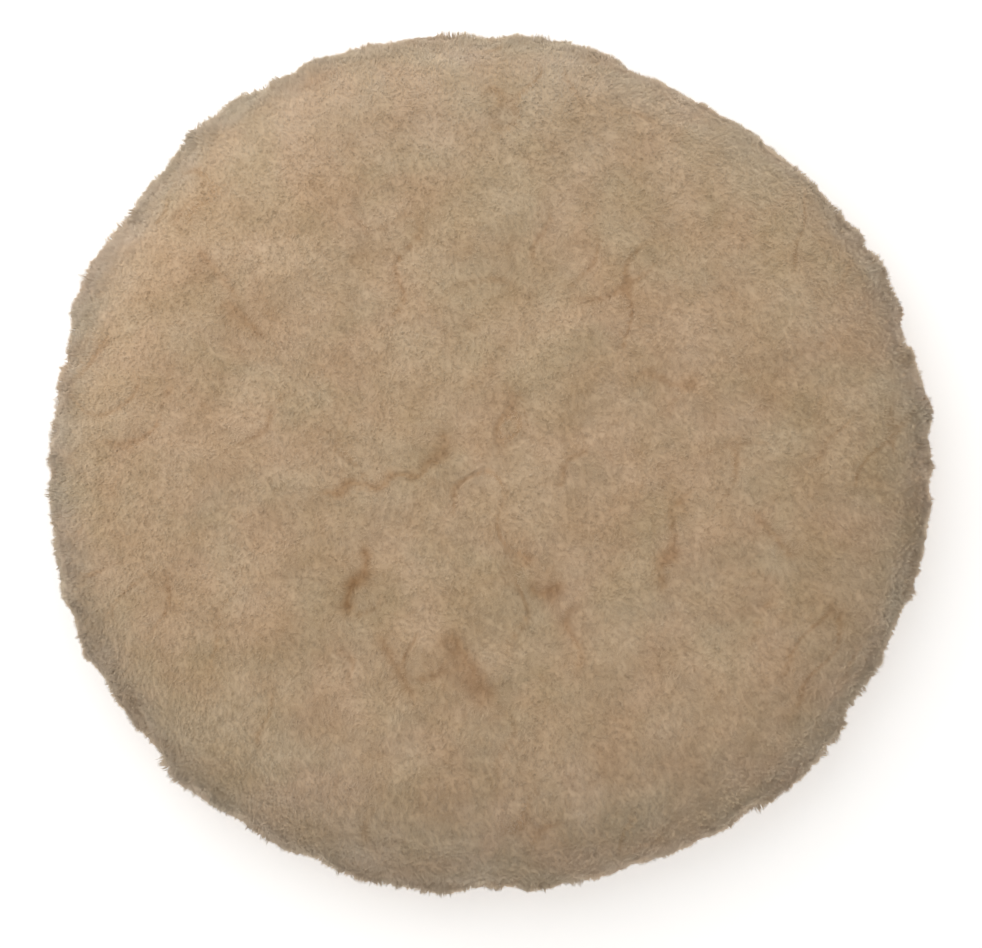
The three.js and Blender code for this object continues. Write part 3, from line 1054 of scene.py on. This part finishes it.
def build_thread(node, dips_up, material):
    """A twisted thread round the seam."""
    turn = np.linspace(0, 2 * math.pi, STITCHES * THREAD_STEPS, endpoint=False)
    height = thread_height(node, dips_up, turn)
    twists = round(2 * math.pi * SEAM_R / TWIST)
    verts, faces, uv = [], [], []
    for ply in range(PLIES):
        roll = twists * turn + 2 * math.pi * ply / PLIES
        rows = ply_rows(SEAM_R + PLY_R * np.cos(roll), height + PLY_R * np.sin(roll), turn)
        ply_verts, ply_faces, ply_uv = revolved(rows)
        verts.append(ply_verts)
        faces.append(ply_faces + ply * len(ply_verts))
        uv.append(ply_uv * (1, 1 / PLIES) + (0, ply / PLIES))
    obj = new_mesh(f"{node}_plies", np.concatenate(verts), np.concatenate(faces))
    lay_out(obj, np.concatenate(uv))
    obj.data.shade_smooth()
    place(obj, material, "thread", node)


def finish_node(node, material):
    """Gives a CAD node that stays in view its material."""
    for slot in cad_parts[node].material_slots:
        slot.material = material


# ---- Build ---------------------------------------------------------------------------------------
pile = surface_tree("wool_pile")
skin = pile_skin(pile)
skin_normal = skin_frame(skin)[0]
fleece = skin + relief(skin.reshape(-1, 3)).reshape(len(skin), AROUND, 1) * skin_normal
fleece_normal, fleece_down = skin_frame(fleece)
underwool = wool_material("underwool", UNDERWOOL_AND_SHADE, UNDERWOOL_AND_SHADE, UNDERWOOL_AND_SHADE)
build_underlayer(fleece, fleece_normal, pile_seat(pile), underwool)
wool = wool_material("wool", WOOL_ROOT, WOOL_MIDDLE, WOOL_TIP)
build_fibres(fleece, fleece_normal, fleece_down, wool)

build_hide(leather_material())
build_foam(foam_material())
knit = knit_material()
build_loop_sheet(knit)
build_loops(loop_material())
thread = thread_material()
build_thread("needle_thread", False, thread)
build_thread("bobbin_thread", True, thread)
finish_node("loop_ground", knit)
film = adhesive_material()
finish_node("loop_adhesive", film)
finish_node("hide_adhesive", film)

# ---- Stage ---------------------------------------------------------------------------------------
FLOOR_R = 1.8
SWEEP_R = 0.7  # the floor curves up into a pale backdrop
SWEEP_STEPS = 12
FLOOR_AROUND = 96
PAPER = (0.93, 0.93, 0.93, 1)
PAPER_GLOW = 0.42  # the backdrop's own light, which keeps it as pale far away as near the pad
WORLD_COLOUR = (1, 0.975, 0.94, 1)
WORLD_STRENGTH = 0.50
KEY_SPOT = (-0.28, 0.42, 0.60)
KEY_SIZE = 1.0
KEY_POWER = 3.1
KEY_COLOUR = (1, 0.99, 0.975)
LENS = 180  # millimetres, as is the sensor's width
SENSOR = 36
VIEW_WIDTH = 0.2247  # how much the camera sees from side to side at the height of the crown
CROWN_HEIGHT = 0.02
CAMERA_SHIFT = (0.0002, -0.0022)


def build_floor():
    bend = np.linspace(0, math.pi / 2, SWEEP_STEPS)
    rim = np.stack([FLOOR_R + SWEEP_R * np.sin(bend), SWEEP_R * (1 - np.cos(bend))], axis=1)
    rows = turned(np.concatenate([[(0.1 * MM, 0)], rim]), FLOOR_AROUND)
    here = np.arange(len(rows) * FLOOR_AROUND).reshape(-1, FLOOR_AROUND)
    after = np.roll(here, -1, axis=1)
    faces = np.stack([here[:-1], here[1:], after[1:], after[:-1]], axis=-1)
    floor = new_mesh("floor", rows.reshape(-1, 3), faces.reshape(-1, 4))
    floor.data.shade_smooth()
    paper = Nodes("floor", 0.9)
    paper.set("Base Color", PAPER)
    paper.set("Emission Color", (1, 1, 1, 1))
    paper.set("Emission Strength", PAPER_GLOW)
    floor.data.materials.append(paper.material)


def build_world():
    world = bpy.data.worlds.new("studio")
    world.use_nodes = True
    background = world.node_tree.nodes["Background"]
    background.inputs["Color"].default_value = WORLD_COLOUR
    background.inputs["Strength"].default_value = WORLD_STRENGTH
    bpy.context.scene.world = world


def build_key_light():
    data = bpy.data.lights.new("key", "AREA")
    data.shape = "DISK"
    data.size = KEY_SIZE
    data.energy = KEY_POWER
    data.color = KEY_COLOUR
    light = bpy.data.objects.new("key", data)
    light.location = KEY_SPOT
    light.rotation_mode = "QUATERNION"
    light.rotation_quaternion = Vector(KEY_SPOT).to_track_quat("Z", "Y")
    bpy.context.scene.collection.objects.link(light)


def build_camera():
    """Straight down on the wool, from far enough away for almost no perspective."""
    data = bpy.data.cameras.new("camera")
    data.lens = LENS
    data.sensor_width = SENSOR
    data.clip_end = 10
    camera = bpy.data.objects.new("camera", data)
    camera.location = (*CAMERA_SHIFT, LENS / SENSOR * VIEW_WIDTH + CROWN_HEIGHT)
    bpy.context.scene.collection.objects.link(camera)
    bpy.context.scene.camera = camera


build_floor()
build_world()
build_key_light()
build_camera()
bpy.context.scene.view_settings.view_transform = "Standard"
bpy.context.scene.view_settings.look = "None"
